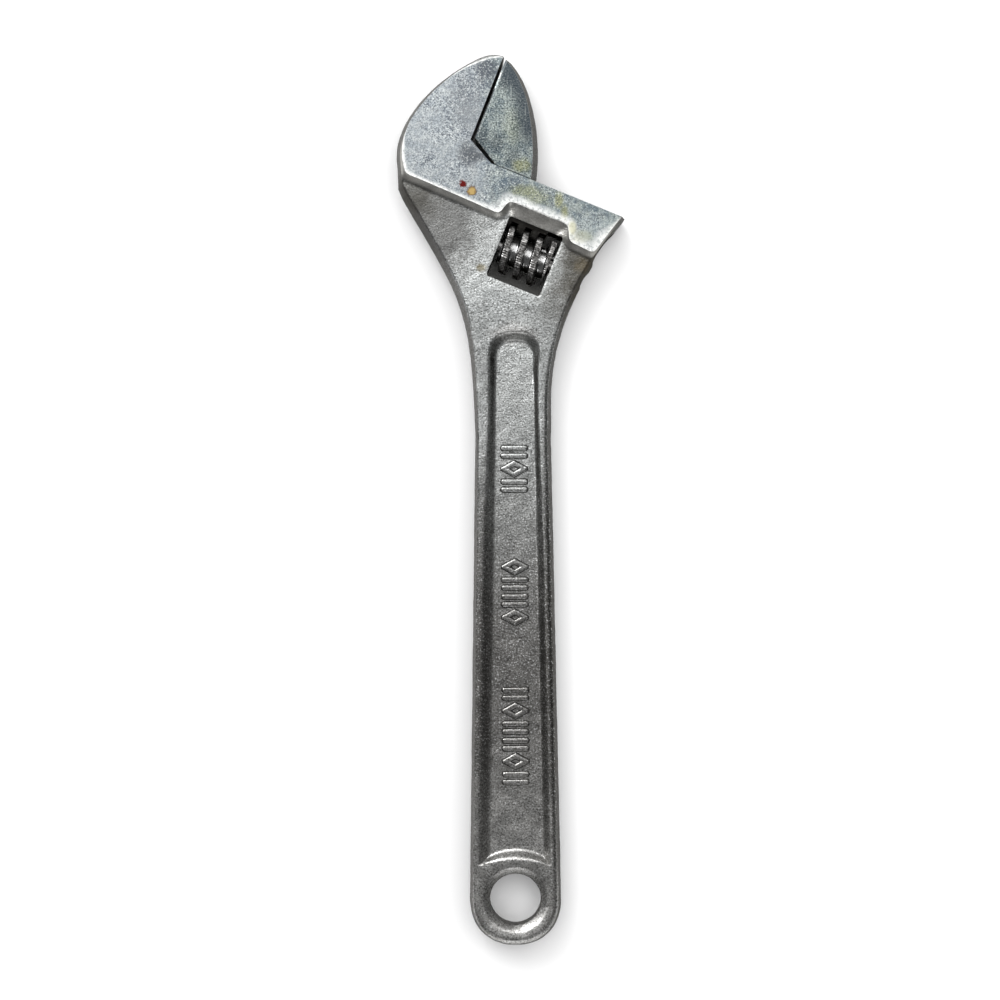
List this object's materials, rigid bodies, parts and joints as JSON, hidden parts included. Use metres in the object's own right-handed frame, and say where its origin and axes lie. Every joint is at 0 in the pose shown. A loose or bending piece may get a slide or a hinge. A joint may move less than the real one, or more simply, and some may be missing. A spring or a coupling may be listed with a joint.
{
  "type": "adjustable wrench",
  "caption": "Adjustable wrench with a forged handle and fixed jaw, a sliding movable jaw on a rack, and a knurled adjusting screw on a pin.",
  "frame": {"origin": "centre of the hanging hole at mid-thickness, on the forging's parting plane", "axes": "+Y up the handle to the head, +X towards the side that the jaw opens to, +Z out of the broad face, along the hanging hole"},
  "size_m": [0.0785, 0.3044, 0.0176],
  "materials": {
    "forged_steel": "satin",
    "ground_steel": "ground",
    "screw_steel": "polished",
    "pin_steel": "machined",
    "spring_steel": "drawn wire"
  },
  "bodies": {
    "wrench_body": {"wrench_body": "forged_steel", "screw_pin": "pin_steel", "screw_spring": "spring_steel"},
    "movable_jaw": {"movable_jaw": "ground_steel"},
    "adjusting_screw": {"adjusting_screw": "screw_steel"}
  },
  "joints": [
    {"name": "screw_spin", "type": "hinge", "parent": "wrench_body", "child": "adjusting_screw", "pos_m": [0.00442, 0.21962, 0], "axis": [-0.9239, 0.3827, 0], "range_deg": [-71, 2330]},
    {"name": "jaw_slide", "type": "slide", "parent": "wrench_body", "child": "movable_jaw", "axis": [0.9239, -0.3827, 0], "range_m": [-0.001, 0.033]}
  ],
  "couplings": [
    {"joint": "screw_spin", "follows": "jaw_slide", "rad_per_m": 1232}
  ]
}
